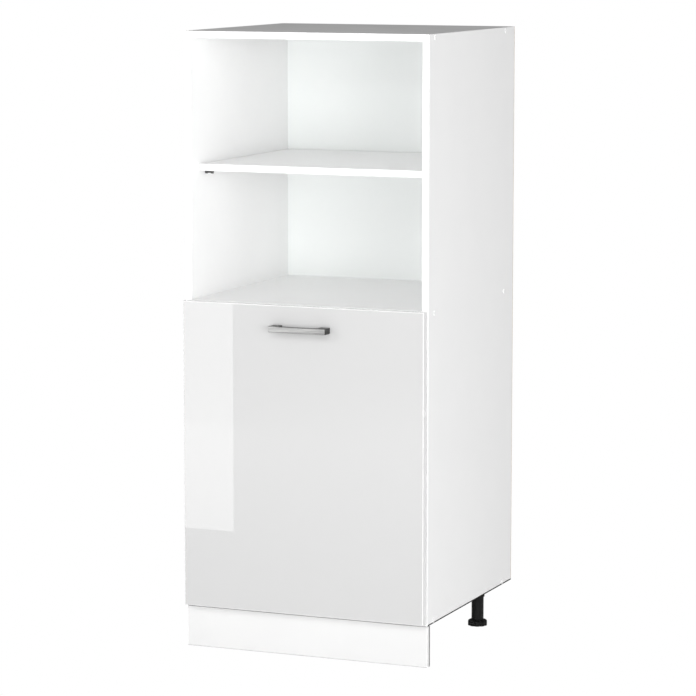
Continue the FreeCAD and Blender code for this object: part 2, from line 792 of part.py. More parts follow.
pieces = {
    "side_panel_left": side_panel(-1),
    "side_panel_right": side_panel(1),
    "top_panel": top_panel(),
    "middle_panel": middle_panel(),
    "bottom_panel": bottom_panel(),
    "back_panel": back_panel(),
    "niche_shelf": shelf(niche_shelf_z, niche_shelf_setback),
    "cupboard_shelf": shelf(cupboard_shelf_z, cupboard_shelf_setback),
    "edge_band_side_left": front_band(-half, -inner, front, floor_gap, height),
    "edge_band_side_right": front_band(inner, half, front, floor_gap, height),
    "edge_band_top_panel": front_band(-inner, inner, front, top_under, height),
    "edge_band_middle_panel": front_band(-inner, inner, front, middle_under, middle_top),
    "edge_band_bottom_panel": front_band(-inner, inner, front, floor_gap, floor_top),
    "edge_band_niche_shelf": shelf_band(niche_shelf_z, niche_shelf_setback),
    "edge_band_cupboard_shelf": shelf_band(cupboard_shelf_z, cupboard_shelf_setback),
    "niche_shelf_supports": shelf_supports(niche_shelf_z, niche_shelf_setback),
    "cupboard_shelf_supports": shelf_supports(cupboard_shelf_z, cupboard_shelf_setback),
    "panel_fixing_screws": at_each_joint(fixing_screw, fix_rows),
    "screw_cover_caps": at_each_joint(cover_cap, fix_rows),
    "panel_dowels": at_each_joint(dowel, dowel_rows),
    "back_panel_screws": group(back_screw_set(0)),
    "door_panel": door_panel(),
    "door_handle": handle(),
    "door_handle_screws": group([handle_screw(side) for side in (-1, 1)]),
    "door_bumpers": door_bumpers(),
    "hinge_cup_screws": both_hinges(lambda level: cup_screw_set(level, 0)),
    "hinge_cup_pins": both_hinges(hinge_cup_pins),
    "hinge_arm_pins": both_hinges(hinge_arm_pins),
    "hinge_arm_screws": both_hinges(hinge_arm_screws),
    "hinge_plate_screws": both_hinges(lambda level: plate_screw_set(level, 0)),
    "plinth_board": plinth(),
    "plinth_edge_bands": plinth_bands(),
    "plinth_clips": group([plinth_clip(leg_places[name]) for name in clipped_legs]),
    "plinth_clip_screws": group([screw for name in clipped_legs
                                 for screw in plinth_screw_set(leg_places[name], 0)]),
    "leg_socket_screws": group([screw for place in leg_places.values()
                                for screw in socket_screw_set(place, 0)]),
}
for end, level in hinge_levels.items():
    pieces["hinge_cup_" + end] = hinge_cup(level)
    pieces["hinge_outer_link_" + end] = hinge_outer_link(level)
    pieces["hinge_inner_link_" + end] = hinge_inner_link(level)
    pieces["hinge_arm_" + end] = hinge_arm(level)
    pieces["hinge_plate_" + end] = hinge_plate(level)
for corner, place in leg_places.items():
    pieces["leg_socket_" + corner] = leg_socket(place)
    pieces["leg_tube_" + corner] = leg_tube(place)
    pieces["leg_foot_" + corner] = leg_foot(place)

os.makedirs("parts", exist_ok=True)
for name, shape in pieces.items():
    shape.exportStep("parts/" + name + ".step")
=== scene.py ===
# %% [markdown]
# # A tall white kitchen unit with an open niche
# The unit is a box of white melamine-faced chipboard: an open niche with one shelf above, and a
# cupboard with one high-gloss door below, standing on a plinth and black screw feet. Its measured
# model comes first. Everything after that is about finish: rounded board edges, edge bands, gloss,
# satin metal and grained plastic, and a plain studio to look at them in.

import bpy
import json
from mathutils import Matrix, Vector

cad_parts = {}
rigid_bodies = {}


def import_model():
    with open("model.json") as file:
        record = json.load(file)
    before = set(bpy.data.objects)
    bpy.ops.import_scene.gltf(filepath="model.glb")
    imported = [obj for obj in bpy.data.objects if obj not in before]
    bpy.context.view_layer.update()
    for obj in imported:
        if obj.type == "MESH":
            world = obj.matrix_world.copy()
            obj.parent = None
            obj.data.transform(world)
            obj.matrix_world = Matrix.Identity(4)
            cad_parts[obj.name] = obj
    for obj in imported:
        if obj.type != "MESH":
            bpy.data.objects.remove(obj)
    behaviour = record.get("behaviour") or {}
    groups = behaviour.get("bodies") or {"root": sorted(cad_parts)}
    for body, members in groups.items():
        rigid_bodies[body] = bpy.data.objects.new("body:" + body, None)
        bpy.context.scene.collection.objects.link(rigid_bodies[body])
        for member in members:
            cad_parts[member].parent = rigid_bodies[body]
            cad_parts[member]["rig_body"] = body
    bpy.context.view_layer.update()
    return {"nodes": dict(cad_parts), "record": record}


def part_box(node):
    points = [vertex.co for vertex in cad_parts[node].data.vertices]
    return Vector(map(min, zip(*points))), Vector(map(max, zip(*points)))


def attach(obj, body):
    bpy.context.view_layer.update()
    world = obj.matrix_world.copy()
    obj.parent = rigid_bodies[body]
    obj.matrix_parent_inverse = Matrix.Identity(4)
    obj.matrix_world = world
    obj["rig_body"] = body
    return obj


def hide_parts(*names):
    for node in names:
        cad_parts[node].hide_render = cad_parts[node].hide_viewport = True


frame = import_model()

import json
import math

import bmesh
import bpy
from mathutils import Vector

MM = 0.001
nodes = frame["nodes"]

# %% [markdown]
# ## The camera
# A product picture of furniture is taken from far away with a long lens, so that upright edges stay
# nearly parallel. Distance decides the perspective and the lens only crops it, so both are set from
# the real view: about seven metres off, to the right of the unit and a little above it.

# %% Place the camera
CAMERA_PLACE = Vector((2.8295, -6.7955, 1.6859))
CAMERA_TURN = math.radians(22.61)
CAMERA_DIP = math.radians(7.75)
FOCAL_LENGTH = 163.7        # in millimetres, as Blender counts it
SENSOR_WIDTH = 36.0
VIEW_REACH = 200.0          # in metres, beyond the far edge of the floor

lens = bpy.data.cameras.new("long_lens")
lens.lens = FOCAL_LENGTH
lens.sensor_width = SENSOR_WIDTH
lens.clip_end = VIEW_REACH
camera = bpy.data.objects.new("camera", lens)
camera.location = CAMERA_PLACE
camera.rotation_euler = (math.pi / 2 - CAMERA_DIP, 0.0, CAMERA_TURN)
bpy.context.scene.collection.objects.link(camera)
bpy.context.scene.camera = camera
print("camera at", tuple(round(v, 3) for v in camera.location), "with a lens of", lens.lens, "mm")

# %% [markdown]
# ## Small tools for building materials
# A material is a chain of nodes. A chain that two materials share is better kept as a node group: it
# is built once, has named sockets, and each material plugs in its own values. `add` makes a node and
# fills its inputs, `effect` starts a group, and `use` places a group.

# %% Helpers for nodes
FLOAT, VECTOR, COLOUR = "NodeSocketFloat", "NodeSocketVector", "NodeSocketColor"


def fill(tree, made, inputs):
    """Give each input a value, or a link when the value is another node's socket."""
    for name, value in inputs.items():
        socket = made.inputs[name]
        if isinstance(value, bpy.types.NodeSocket):
            tree.links.new(value, socket)
        else:
            socket.default_value = value
    return made


def add(tree, kind, inputs, **settings):
    """Make a node, change its settings and fill its inputs."""
    made = tree.nodes.new(kind)
    for name, value in settings.items():
        setattr(made, name, value)
    return fill(tree, made, inputs)


def maths(tree, operation, a, b=0.0):
    return add(tree, "ShaderNodeMath", {0: a, 1: b}, operation=operation).outputs[0]


def stretch(tree, value, low, high, to_low, to_high):
    """Move a value from one range to another, and clamp it there."""
    made = add(tree, "ShaderNodeMapRange", {"Value": value, "From Min": low, "From Max": high,
                                            "To Min": to_low, "To Max": to_high})
    return made.outputs[0]


def blend_colours(tree, share, first, second):
    made = tree.nodes.new("ShaderNodeMix")
    made.data_type = "RGBA"
    return fill(tree, made, {0: share, 6: first, 7: second}).outputs[2]


def effect(name, takes, gives):
    """Start a node group. Returns its tree, the sockets it is given and the node that it fills."""
    tree = bpy.data.node_groups.new(name, "ShaderNodeTree")
    for label, kind in takes:
        tree.interface.new_socket(name=label, in_out="INPUT", socket_type=kind)
    for label, kind in gives:
        tree.interface.new_socket(name=label, in_out="OUTPUT", socket_type=kind)
    return tree, tree.nodes.new("NodeGroupInput").outputs, tree.nodes.new("NodeGroupOutput")


def use(tree, group, inputs):
    """Place a group in a tree and return the sockets that it gives."""
    made = tree.nodes.new("ShaderNodeGroup")
    made.node_tree = group
    return fill(tree, made, inputs).outputs


print("node helpers ready")

# %% [markdown]
# ## Effect: a faint mottle
# Nothing real has one exact colour or gloss. Resin paper, foil and plating all vary by a percent or
# so over a few centimetres. One soft noise gives a colour between two near ones, and a mask that can
# nudge the roughness too.

# %% Group: faint mottle
mottle, given, out = effect(
    "faint_mottle",
    [("Place", VECTOR), ("Patch Size", FLOAT), ("Colour A", COLOUR), ("Colour B", COLOUR)],
    [("Colour", COLOUR), ("Mask", FLOAT)])
clouds = add(mottle, "ShaderNodeTexNoise", {
    "Vector": given["Place"], "Scale": maths(mottle, "DIVIDE", 1.0, given["Patch Size"]),
    "Detail": 3.0, "Roughness": 0.55})
patches = stretch(mottle, clouds.outputs["Fac"], 0.3, 0.7, 0.0, 1.0)
fill(mottle, out, {
    "Colour": blend_colours(mottle, patches, given["Colour A"], given["Colour B"]),
    "Mask": patches})
print("group", mottle.name)

# %% [markdown]
# ## Effect: a pressed skin
# Melamine paper is pressed between steel plates and takes their texture: shallow rounded cells less
# than a millimetre apart. Moulded plastic has the same kind of skin, only coarser and deeper. Smooth
# Voronoi cells look like that, and a finer noise breaks up their regularity.

# %% Group: pressed skin
pressed, given, out = effect(
    "pressed_skin", [("Place", VECTOR), ("Cell Size", FLOAT)], [("Height", FLOAT)])
cells_per_metre = maths(pressed, "DIVIDE", 1.0, given["Cell Size"])
cells = add(pressed, "ShaderNodeTexVoronoi", {
    "Vector": given["Place"], "Scale": cells_per_metre, "Smoothness": 1.0}, feature="SMOOTH_F1")
specks = add(pressed, "ShaderNodeTexNoise", {
    "Vector": given["Place"], "Scale": maths(pressed, "MULTIPLY", cells_per_metre, 1.7),
    "Detail": 2.0})
CELL_SHARE = 0.65
height = maths(pressed, "ADD", maths(pressed, "MULTIPLY", cells.outputs["Distance"], CELL_SHARE),
               maths(pressed, "MULTIPLY", specks.outputs["Fac"], 1 - CELL_SHARE))
fill(pressed, out, {"Height": height})
print("group", pressed.name)

# %% [markdown]
# ## Effect: brushed lines
# A belt leaves scratches that are long one way and hair-fine the other. Noise does that when its
# space is squeezed: the place is multiplied by a large number across the lines and a small one along
# them.

# %% Group: brushed lines
brushed, given, out = effect(
    "brushed_lines", [("Place", VECTOR), ("Lines Per Metre", VECTOR)], [("Mask", FLOAT)])
squeezed = add(brushed, "ShaderNodeVectorMath", {
    0: given["Place"], 1: given["Lines Per Metre"]}, operation="MULTIPLY")
lines = add(brushed, "ShaderNodeTexNoise", {
    "Vector": squeezed.outputs[0], "Scale": 1.0, "Detail": 4.0, "Roughness": 0.7})
fill(brushed, out, {"Mask": stretch(brushed, lines.outputs["Fac"], 0.32, 0.68, 0.0, 1.0)})
print("group", brushed.name)

# %% [markdown]
# ## Effect: pressed wood chips
# Where a board is sawn and left bare, its core shows: flat chips of many browns, laid along the board
# and glued with small dark gaps between. Voronoi cells squeezed along the thickness give the chips,
# each with its own random colour, and their edge distance gives the gaps.

# %% Group: chip core
chips, given, out = effect(
    "chip_core", [("Place", VECTOR), ("Chips Per Metre", VECTOR)],
    [("Colour", COLOUR), ("Height", FLOAT)])
laid = add(chips, "ShaderNodeVectorMath", {
    0: given["Place"], 1: given["Chips Per Metre"]}, operation="MULTIPLY")
warp = add(chips, "ShaderNodeTexNoise", {"Vector": laid.outputs[0], "Scale": 1.5, "Detail": 2.0})
bent = add(chips, "ShaderNodeVectorMath", {
    0: warp.outputs["Color"], 1: (0.8, 0.8, 0.8), 2: laid.outputs[0]}, operation="MULTIPLY_ADD")
chip = add(chips, "ShaderNodeTexVoronoi", {"Vector": bent.outputs[0], "Scale": 1.0})
gap = add(chips, "ShaderNodeTexVoronoi", {"Vector": bent.outputs[0], "Scale": 1.0},
          feature="DISTANCE_TO_EDGE")
tone = add(chips, "ShaderNodeSeparateColor", {"Color": chip.outputs["Color"]})
wood = blend_colours(chips, tone.outputs[0], (0.50, 0.36, 0.21, 1), (0.70, 0.55, 0.36, 1))
glued = stretch(chips, gap.outputs["Distance"], 0.0, 0.09, 0.0, 1.0)
fill(chips, out, {
    "Colour": blend_colours(chips, glued, (0.20, 0.13, 0.07, 1), wood), "Height": glued})
print("group", chips.name)

# %% [markdown]
# ## Starting a material
# Every finish here is one Principled shader with a place to measure from. Object coordinates are in
# metres and move with the piece, so a texture keeps its real size and stays put when the door opens.
# Values that are the same all over a surface are set on the shader itself. The rest comes from the
# effects above, and most finishes use them in the same few ways: a mottle in colour and gloss, lines
# that colour, gloss and relief all follow, and a pressed skin. Each way is a helper.

# %% Helpers: a material, and the ways it wears the effects
def finish(name, **even):
    """A material, its tree, its Principled shader with even values set, and object coordinates."""
    made = bpy.data.materials.new(name)
    made.use_nodes = True
    tree = made.node_tree
    shader = tree.nodes["Principled BSDF"]
    for label, value in even.items():
        shader.inputs[label.replace("_", " ")].default_value = value
    return made, tree, shader, tree.nodes.new("ShaderNodeTexCoord").outputs["Object"]


def relief(tree, shader, height, depth):
    """Bump of a real depth in metres, for the shader's own surface."""
    bump = add(tree, "ShaderNodeBump", {"Height": height, "Strength": 1.0, "Distance": depth})
    tree.links.new(bump.outputs[0], shader.inputs["Normal"])


def wear_mottle(tree, shader, here, patch_size, colours, roughness):
    """Let colour and roughness wander between two values each. Returns the mask they follow."""
    patch = use(tree, mottle, {"Place": here, "Patch Size": patch_size,
                               "Colour A": colours[0], "Colour B": colours[1]})
    tree.links.new(patch["Colour"], shader.inputs["Base Color"])
    tree.links.new(stretch(tree, patch["Mask"], 0.0, 1.0, *roughness), shader.inputs["Roughness"])
    return patch["Mask"]


def wear_lines(tree, shader, here, lines, colours, roughness, depth):
    """Let colour, roughness and relief all follow the same lines."""
    mask = use(tree, brushed, {"Place": here, "Lines Per Metre": lines})["Mask"]
    tree.links.new(blend_colours(tree, mask, *colours), shader.inputs["Base Color"])
    tree.links.new(stretch(tree, mask, 0.0, 1.0, *roughness), shader.inputs["Roughness"])
    relief(tree, shader, mask, depth)


def wear_skin(tree, shader, here, cell_size, depth):
    """The relief of a pressed or moulded skin."""
    relief(tree, shader, use(tree, pressed, {"Place": here, "Cell Size": cell_size})["Height"], depth)


def grey(value, blue=0.0):
    """An even grey, made a little warmer where blue is below zero."""
    return (value, value, value + blue, 1.0)


print("material helpers ready")

# %% [markdown]
# ## Finish: white melamine
# The carcass boards are chipboard faced with resin paper. It is a slightly warm white, satin rather
# than glossy, with a pearl texture too fine to see from across a room. The gloss varies a little more
# than the colour does, which is what the eye picks up along a large flat side. The plinth and the
# door's inner face wear a greyer paper of the same kind, so one function makes both papers.

# %% Materials: the two melamine papers
BOARD_WHITE = 0.93
PLINTH_WHITE = 0.63
PEARL = 0.6 * MM            # from one pressed cell to the next


def resin_paper(name, dark, light):
    """Paper between two near whites, a little warmer where it is lighter."""
    made, tree, shader, here = finish(name, IOR=1.5)
    wear_mottle(tree, shader, here, 0.07, (grey(dark), grey(light, -0.002)), (0.34, 0.42))
    wear_skin(tree, shader, here, PEARL, 0.012 * MM)
    return made


melamine = resin_paper("white_melamine", BOARD_WHITE - 0.006, BOARD_WHITE + 0.004)
plinth_white = resin_paper("plinth_melamine", PLINTH_WHITE - 0.005, PLINTH_WHITE + 0.005)
print("materials", melamine.name, plinth_white.name)

# %% [markdown]
# ## Finish: edge band
# The front edges carry a plastic strip one millimetre thick. It is smoother than the paper and was
# scraped flush, which leaves fine chatter marks across it. The plinth's ends wear the same strip.

# %% Material: edge band
edging, tree, shader, here = finish("white_edge_band", IOR=1.5)
wear_mottle(tree, shader, here, 0.03, (grey(0.825), grey(0.840)), (0.28, 0.34))
chatter = use(tree, brushed, {"Place": here, "Lines Per Metre": (700.0, 700.0, 700.0)})["Mask"]
relief(tree, shader, chatter, 0.006 * MM)
print("material", edging.name)

# %% [markdown]
# ## Finish: bare chipboard
# Edges that nobody sees in a kitchen, such as the rear edges of the boards, are left sawn. They show
# the chips, rough and without any gloss. The same chips under a nearly black paint make the painted
# shade lines along the lower edges.

# %% Materials: bare chipboard, and chipboard painted dark for the shade lines
bare_edge, tree, shader, here = finish("bare_chipboard", IOR=1.4, Roughness=0.9)
core = use(tree, chips, {"Place": here, "Chips Per Metre": (420.0, 260.0, 260.0)})
tree.links.new(core["Colour"], shader.inputs["Base Color"])
relief(tree, shader, core["Height"], 0.25 * MM)

PAINT_COVER = 0.985         # how much of the chips' colour the paint hides
PAINT = grey(0.010)
# Nearly black paint over the chips: the painted shade line along the lower edges and the plinth's ends.
shade_line_paint, tree, shader, here = finish("dark_painted_shade_line", IOR=1.3)
core = use(tree, chips, {"Place": here, "Chips Per Metre": (420.0, 420.0, 260.0)})
tree.links.new(blend_colours(tree, PAINT_COVER, core["Colour"], PAINT), shader.inputs["Base Color"])
tree.links.new(stretch(tree, core["Height"], 0.0, 1.0, 0.9, 0.75), shader.inputs["Roughness"])
relief(tree, shader, core["Height"], 0.1 * MM)
print("materials", bare_edge.name, shade_line_paint.name)

# %% [markdown]
# ## Finish: the back board, front and rear
# The back is a thin hard fibreboard. Towards the niche it has a white lacquer with a cool cast and a
# little more gloss than the boards. Its rear is the bare brown board, smooth, with darker fibres.

# %% Materials: lacquered and bare back board
lacquer, tree, shader, here = finish("back_board_lacquer", IOR=1.5)
wear_mottle(tree, shader, here, 0.09,
            ((0.903, 0.929, 0.920, 1), (0.912, 0.935, 0.927, 1)), (0.30, 0.36))
wear_skin(tree, shader, here, 1.4 * MM, 0.01 * MM)

fibre, tree, shader, here = finish("bare_hardboard", IOR=1.45)
flecks = use(tree, brushed, {"Place": here, "Lines Per Metre": (900.0, 900.0, 240.0)})["Mask"]
patch = use(tree, mottle, {"Place": here, "Patch Size": 0.11, "Colour A": (0.30, 0.19, 0.105, 1),
                           "Colour B": (0.35, 0.225, 0.125, 1)})
fleck_share = stretch(tree, flecks, 0.0, 1.0, 0.0, 0.35)
tree.links.new(blend_colours(tree, fleck_share, patch["Colour"], (0.21, 0.13, 0.07, 1)),
               shader.inputs["Base Color"])
tree.links.new(stretch(tree, flecks, 0.0, 1.0, 0.55, 0.68), shader.inputs["Roughness"])
relief(tree, shader, flecks, 0.03 * MM)
print("materials", lacquer.name, fibre.name)

# %% [markdown]
# ## Finish: high-gloss door
# The door is board wrapped in a polished foil. Under the gloss is an even white, set greyer than the
# foil's own as painted shade. The clear layer on top is a Principled coat with almost no roughness, so
# a light's edge stays sharp in it, and a very shallow long wave keeps that edge from being ruled too
# straight.

# %% Materials: the door's gloss, greyed as painted shade, and its lighter edge, as painted light
# The face's white is set low: painted shade under the gloss.
SHADED_DOOR_WHITE = 0.49
gloss, tree, shader, here = finish("door_high_gloss", IOR=1.5, Specular_IOR_Level=0.0, Coat_Weight=1.0,
                                   Coat_Roughness=0.01, Coat_IOR=1.5)
wear_mottle(tree, shader, here, 0.12, (grey(SHADED_DOOR_WHITE - 0.0008), grey(SHADED_DOOR_WHITE + 0.0008)),
            (0.295, 0.3))
wave = add(tree, "ShaderNodeTexNoise", {"Vector": here, "Scale": 22.0, "Detail": 1.0})
relief(tree, shader, wave.outputs["Fac"], 0.002 * MM)

# The rim's white is set well above the face's: painted light along the door's edges.
RIM_WHITE_WITH_LIGHT = 0.78
door_edge, tree, shader, here = finish("door_rim_painted_light", IOR=1.5)
mask = wear_mottle(tree, shader, here, 0.05, (grey(RIM_WHITE_WITH_LIGHT - 0.004), grey(RIM_WHITE_WITH_LIGHT + 0.004)),
                   (0.22, 0.28))
relief(tree, shader, mask, 0.01 * MM)
print("materials", gloss.name, door_edge.name)

# %% [markdown]
# ## Finish: the metals
# The handle is satin nickel with soft streaks along its bar and flanks nearly black as painted shade,
# the hinges are bright nickel over pressed steel, and the screws and the shelf pegs are zinc, the pegs
# a dark one, painted shade from the shelf above them. Metal takes its look from what it reflects, so
# the work is in the roughness, which streaks make uneven in one direction.

# %% Materials: handle, hinges, screws and pegs
def metal(name, dark, bright, smooth, rough, lines, depth):
    """A metal between two tones, warmer where it is bright."""
    made, tree, shader, here = finish(name, Metallic=1.0)
    wear_lines(tree, shader, here, lines, (grey(dark), grey(bright, -0.006)), (smooth, rough), depth)
    return made


satin = metal("handle_satin_nickel", 0.26, 0.46, 0.28, 0.36, (14.0, 420.0, 420.0), 0.004 * MM)
# Near black: painted shade, standing for the unlit surroundings that the flanks mirror.
shaded_satin = metal("handle_flanks_painted_shade", 0.03, 0.06, 0.3, 0.42, (60.0, 1500.0, 1500.0), 0.004 * MM)
nickel = metal("hinge_bright_nickel", 0.60, 0.68, 0.18, 0.28, (300.0, 300.0, 300.0), 0.01 * MM)
zinc = metal("screw_zinc", 0.55, 0.64, 0.25, 0.4, (600.0, 600.0, 600.0), 0.008 * MM)
# The pegs' dark tone is painted shade: they sit in the shelf's shade.
shaded_peg_zinc = metal("peg_zinc_painted_shade", 0.10, 0.16, 0.3, 0.42, (500.0, 500.0, 500.0), 0.01 * MM)
print("metals", satin.name, shaded_satin.name, nickel.name, zinc.name, shaded_peg_zinc.name)

# %% [markdown]
# ## Finish: the plastics, the rubber and the dowels
# The legs are black polypropylene with a fine spark-eroded grain. The screw caps are smooth and
# whiter than their plastic, as painted light, the door bumpers soft and milky, and the dowels plain
# beech with a grain along their length.

# %% Materials: leg plastic, caps, bumpers and dowels
black, tree, shader, here = finish("black_leg_plastic", IOR=1.38)
wear_mottle(tree, shader, here, 0.012, (grey(0.004), grey(0.008)), (0.36, 0.5))
wear_skin(tree, shader, here, 0.5 * MM, 0.05 * MM)

# Whiter than the plastic itself: painted light for the light that the caps catch.
lit_cap_white, tree, shader, here = finish("white_cap_painted_light", IOR=1.5)
mask = wear_mottle(tree, shader, here, 0.01, (grey(0.97), grey(0.985)), (0.2, 0.28))
relief(tree, shader, mask, 0.01 * MM)

milky, tree, shader, here = finish("milky_bumper", IOR=1.45, Subsurface_Weight=0.4,
                                   Subsurface_Scale=2 * MM)
mask = wear_mottle(tree, shader, here, 0.004, ((0.72, 0.74, 0.75, 1), (0.78, 0.79, 0.79, 1)),
                   (0.35, 0.45))
relief(tree, shader, mask, 0.02 * MM)

beech, tree, shader, here = finish("dowel_beech", IOR=1.4)
wear_lines(tree, shader, here, (120.0, 1400.0, 1400.0),
           ((0.56, 0.38, 0.22, 1), (0.70, 0.52, 0.33, 1)), (0.6, 0.75), 0.05 * MM)
print("materials", black.name, lit_cap_white.name, milky.name, beech.name)

# %% [markdown]
# ## Giving the measured pieces their finish
# Most measured pieces already have the right shape, with exact roundings, so each only gets a
# material in its slot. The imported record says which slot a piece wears, so one table covers them all.

# %% Finish every measured piece by its slot
WORN = {
    "white_board": melamine, "back_board": lacquer, "edge_band": edging, "door_gloss": gloss,
    "handle_metal": satin, "screw_steel": zinc, "hinge_steel": nickel, "cap_plastic": lit_cap_white,
    "dowel_wood": beech, "support_metal": shaded_peg_zinc, "bumper_rubber": milky, "leg_plastic": black,
}
slot_of = {piece["node"]: piece["material_slot"] for piece in frame["record"]["subparts"]}
for name, piece in nodes.items():
    piece.material_slots[0].material = WORN[slot_of[name]]
print("finished", len(nodes), "pieces from", len(set(slot_of.values())), "slots")

# %% [markdown]
# ## Rounding the board edges
# A sawn board never has a mathematically sharp edge, and the eye knows it: the thin line of light
# along an edge is what makes a white box on white read as boards. The measured boards are sharp, so
# each is copied, its flat faces are joined up, and its outer edges get a small real rounding. Edges
# where two boards meet stay sharp, so that their joint stays closed.

# %% Tool: a copy of a board with rounded outer edges
AXES = "xyz"
TOUCH = 0.01 * MM                   # nearer than this counts as touching
MERGE = 0.001 * MM                  # corners nearer than this are one
SAME_PLANE = math.radians(0.1)      # faces that turn less than this are one
CREASE = math.radians(40)           # an edge that turns more than this looks sharp
ROUND_STEPS = 3


def outer_planes(point, low, high):
    """Which sides of the piece's box a point lies on, such as {'x-', 'z+'}."""
    found = set()
    for i, axis in enumerate(AXES):
        if abs(point[i] - low[i]) < TOUCH:
            found.add(axis + "-")
        if abs(point[i] - high[i]) < TOUCH:
            found.add(axis + "+")
    return found


def whole_faces(node):
    """A bmesh of a measured piece with its corners merged and its flat faces joined up."""
    bm = bmesh.new()
    bm.from_mesh(nodes[node].data)
    bmesh.ops.remove_doubles(bm, verts=bm.verts, dist=MERGE)
    bmesh.ops.dissolve_limit(bm, angle_limit=SAME_PLANE, verts=bm.verts, edges=bm.edges)
    return bm


def in_place_of(node, mesh):
    """Show this mesh where a measured piece stands, on the same body and in the same finish."""
    piece = bpy.data.objects.new(mesh.name, mesh)
    bpy.context.scene.collection.objects.link(piece)
    mesh.materials.clear()
    mesh.materials.append(WORN[slot_of[node]])
    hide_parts(node)
    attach(piece, nodes[node]["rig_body"])
    return piece


def rounded_board(node, radius, closed=()):
    """Copy a board, round its outer edges but not on the closed sides, and show it instead."""
    bm = whole_faces(node)
    low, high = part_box(node)
    edges = []
    for edge in bm.edges:
        sides = outer_planes(edge.verts[0].co, low, high) & outer_planes(edge.verts[1].co, low, high)
        if len(sides) == 2 and not sides & set(closed):
            edges.append(edge)
    bmesh.ops.bevel(bm, geom=edges, offset=radius, segments=ROUND_STEPS, profile=0.5,
                    affect="EDGES", clamp_overlap=True)
    mesh = bpy.data.meshes.new(node + "_rounded")
    bm.to_mesh(mesh)
    bm.free()
    for name in ("custom_normal", "sharp_edge", "sharp_face"):
        if name in mesh.attributes:
            mesh.attributes.remove(mesh.attributes[name])
    mesh.shade_smooth()
    mesh.set_sharp_from_angle(angle=CREASE)
    piece = in_place_of(node, mesh)
    steady = piece.modifiers.new("steady_shading", "WEIGHTED_NORMAL")
    steady.keep_sharp = True
    return piece


print("board tool ready")

# %% [markdown]
# The boards of the carcass get a third of a millimetre. The sides and the plinth, which are handled
# and carry painted shade lines along their feet, get nearly one, and so do the plastic bands, as a
# trimming cutter leaves them.
# The thin back board gets the least.

# %% Round the boards and bands
BOARD_ROUND = 0.35 * MM
SIDE_ROUND = 0.9 * MM
BAND_ROUND = 0.8 * MM
BACK_ROUND = 0.2 * MM
ENDS = ("x-", "x+")
rounded = {}
for node in ("side_panel_left", "side_panel_right"):
    rounded[node] = rounded_board(node, SIDE_ROUND, closed=("y-",))
for node in ("niche_shelf", "cupboard_shelf"):
    rounded[node] = rounded_board(node, BOARD_ROUND, closed=("y-",))
for node in ("top_panel", "middle_panel", "bottom_panel"):
    rounded[node] = rounded_board(node, BOARD_ROUND, closed=("y-",) + ENDS)
rounded["plinth_board"] = rounded_board("plinth_board", SIDE_ROUND, closed=ENDS)
rounded["plinth_board"].material_slots[0].material = plinth_white
rounded["plinth_edge_bands"] = rounded_board("plinth_edge_bands", BOARD_ROUND)
for node in sorted(nodes):
    if node.startswith("edge_band_"):
        butts = ("y+",) + (() if "side" in node or "shelf" in node else ENDS)
        rounded[node] = rounded_board(node, BAND_ROUND, closed=butts)
print("rounded", len(rounded), "boards and bands")

# %% [markdown]
# ## Faces of one piece in different finishes
# Some pieces wear two finishes. The rear edges of the boards are sawn and left bare, and so is the
# rear of the back board. Each of these faces is found by the direction that it looks in.

# %% Put a second finish on faces by their direction
FLAT = 0.999


def refinish(piece, material, ways, least=FLAT):
    """Give a second material to the faces that look one of these ways, as far as least allows."""
    piece.data.materials.append(material)
    last = len(piece.data.materials) - 1
    count = 0
    for face in piece.data.polygons:
        if any(face.normal.dot(Vector(way)) > least for way in ways):
            face.material_index = last
            count += 1
    return count


REAR = (0, 1, 0)
done = 0
for node in ("top_panel", "bottom_panel", "middle_panel", "niche_shelf", "cupboard_shelf"):
    done += refinish(rounded[node], bare_edge, (REAR,))
back = rounded_board("back_panel", BACK_ROUND)
done += refinish(back, fibre, (REAR,))
print("faces in a second finish", done)

# %% [markdown]
# The lower edges are painted nearly black, and the paint laps a little way onto the faces: that lap
# is a painted shade line along the foot of the sides, along the plinth's foot and at the plinth's ends.
# Along the rear of the sides a strip of bare chipboard on the outer face makes a thin painted shade
# line too. The board is cut along the end of the lap, so that the line has a clean edge.

# %% Paint the shade lines along the lower and rear edges
def lap_over(piece, material, way, lap):
    """Cut a piece a lap's width in from the side that looks this way, and refinish all beyond it."""
    way = Vector(way)
    mesh = piece.data
    mesh.materials.append(material)
    last = len(mesh.materials) - 1
    end = max(vertex.co.dot(way) for vertex in mesh.vertices) - lap
    bm = bmesh.new()
    bm.from_mesh(mesh)
    bmesh.ops.bisect_plane(bm, geom=bm.verts[:] + bm.edges[:] + bm.faces[:], dist=TOUCH,
                           plane_co=way * end, plane_no=way)
    beyond = [face for face in bm.faces if face.calc_center_median().dot(way) > end]
    for face in beyond:
        face.material_index = last
    bm.to_mesh(mesh)
    bm.free()
    return len(beyond)


DOWN = (0, 0, -1)
# How far in from each edge the painted shade lines reach.
FOOT_SHADE_LINE = 3.4 * MM
REAR_SHADE_LINE = 2.5 * MM
END_SHADE_LINE = 4.5 * MM
PLINTH_FOOT_SHADE_LINE = 0.7 * MM
shade_lines = []
for node in ("side_panel_left", "side_panel_right"):
    shade_lines.append(lap_over(rounded[node], bare_edge, REAR, REAR_SHADE_LINE))
    shade_lines.append(lap_over(rounded[node], shade_line_paint, DOWN, FOOT_SHADE_LINE))
shade_lines.append(lap_over(rounded["plinth_board"], shade_line_paint, DOWN, PLINTH_FOOT_SHADE_LINE))
shade_lines.append(lap_over(rounded["plinth_edge_bands"], shade_line_paint, REAR, END_SHADE_LINE))
print("faces beyond the laps", shade_lines)

